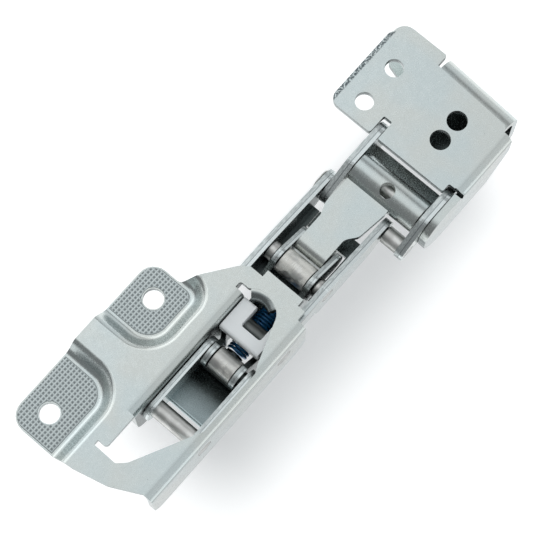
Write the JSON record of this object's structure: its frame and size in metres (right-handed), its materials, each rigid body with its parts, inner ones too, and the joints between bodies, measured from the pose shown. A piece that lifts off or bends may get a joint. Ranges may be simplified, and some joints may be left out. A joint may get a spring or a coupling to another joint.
{
  "type": "concealed multi-link door hinge",
  "caption": "Concealed multi-link appliance door hinge: folded cabinet bracket with knurled ears, nested levers, rolled-knuckle link and folded door bracket.",
  "frame": {"origin": "midway between the two ear holes, on the underside of the mounting pads", "axes": "+X along the hinge towards the door bracket, +Y towards the free edge of the flange, +Z out of the pads' upper face"},
  "size_m": [0.1555, 0.0529, 0.0197],
  "materials": {
    "zinc_sheet": "zinc-plated sheet steel, satin, with rough sheared edges",
    "bare_steel": "turned steel pins and sleeves, lightly greased",
    "white_plastic": "moulded white plastic",
    "blue_wire": "blue coated spring wire"
  },
  "bodies": {
    "bracket": {"mounting_bracket": "zinc_sheet", "arm_pin": "bare_steel", "arm_spacer": "bare_steel", "rear_pin": "bare_steel", "slider_block": "white_plastic"},
    "rear_lever": {"rear_lever": "zinc_sheet", "lever_pin": "bare_steel", "lever_sleeve": "bare_steel", "cam_pin": "bare_steel"},
    "inner_lever": {"inner_lever": "zinc_sheet", "link_pin": "bare_steel", "spring": "blue_wire"},
    "plunger": {"plunger": "bare_steel"},
    "arms": {"outer_arm_left": "zinc_sheet", "outer_arm_right": "zinc_sheet", "crossing_pin": "bare_steel", "crossing_sleeve": "bare_steel"},
    "link": {"neck_link": "zinc_sheet"},
    "door": {"door_clevis": "zinc_sheet", "door_plate": "zinc_sheet", "knuckle_pin": "bare_steel", "door_stud_left": "bare_steel", "door_stud_right": "bare_steel"}
  },
  "joints": [
    {"name": "arm_swing", "type": "hinge", "parent": "bracket", "child": "arms", "pos_m": [0.032, -0.0266, -0.0015], "axis": [0, 1, 0], "range_deg": [0, 32]},
    {"name": "rear_swing", "type": "hinge", "parent": "bracket", "child": "rear_lever", "pos_m": [-0.0005, -0.0266, -0.002], "axis": [0, 1, 0], "range_deg": [0, 32]},
    {"name": "inner_swing", "type": "hinge", "parent": "arms", "child": "inner_lever", "pos_m": [0.0528, -0.0266, -0.001], "axis": [0, 1, 0], "range_deg": [-32, 0]},
    {"name": "link_swing", "type": "hinge", "parent": "inner_lever", "child": "link", "pos_m": [0.06077, -0.0266, -0.00397], "axis": [0, 1, 0], "range_deg": [0, 65.3]},
    {"name": "door_swing", "type": "hinge", "parent": "arms", "child": "door", "pos_m": [0.07723, -0.0266, -0.00353], "axis": [0, 1, 0], "range_deg": [0, 62.7]},
    {"name": "plunger_slide", "type": "slide", "parent": "inner_lever", "child": "plunger", "axis": [1, 0, 0], "range_m": [-0.0032, 0]}
  ],
  "couplings": [
    {"joint": "rear_swing", "follows": "arm_swing", "ratio": 1},
    {"joint": "inner_swing", "follows": "arm_swing", "ratio": -1},
    {"joint": "link_swing", "follows": "arm_swing", "ratio": 2.0387},
    {"joint": "door_swing", "follows": "arm_swing", "ratio": 1.9583},
    {"joint": "plunger_slide", "follows": "arm_swing", "m_per_rad": -0.005676}
  ]
}
